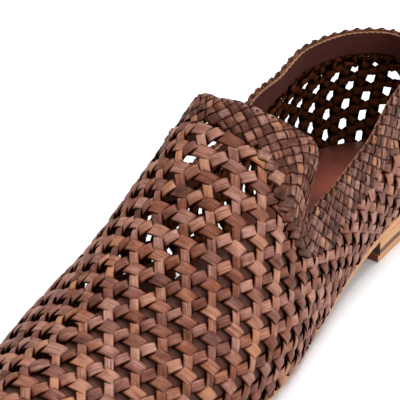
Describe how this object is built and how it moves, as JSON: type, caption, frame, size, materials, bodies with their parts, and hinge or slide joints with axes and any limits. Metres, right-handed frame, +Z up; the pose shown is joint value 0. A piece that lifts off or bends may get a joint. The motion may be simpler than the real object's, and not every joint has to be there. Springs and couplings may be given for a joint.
{
  "type": "woven loafer shoe",
  "caption": "Slip-on loafer for the left foot with an open three-way woven leather upper, a plaited collar band and tongue, a leather outsole and a low stacked heel.",
  "frame": {"origin": "middle of the shoe's box, on the floor under the sole", "axes": "+X towards the toe, +Y towards the wearer's left (the outer side of this left shoe), +Z up"},
  "size_m": [0.2796, 0.0888, 0.089],
  "materials": {
    "sole_leather": "natural tan sole leather with a polished edge",
    "heel_leather": "stacked leather lifts, natural tan",
    "tread_leather": "orange-tan tread leather",
    "insole_leather": "smooth reddish-brown lining leather",
    "strip_leather": "mid-brown strips with rubbed lighter edges",
    "band_leather": "mid-brown plaited strips"
  },
  "bodies": {
    "root": {"outsole": "sole_leather", "heel_stack": "heel_leather", "heel_top_piece": "tread_leather", "insole": "insole_leather", "woven_upper": "strip_leather", "collar_band": "band_leather"}
  },
  "joints": []
}
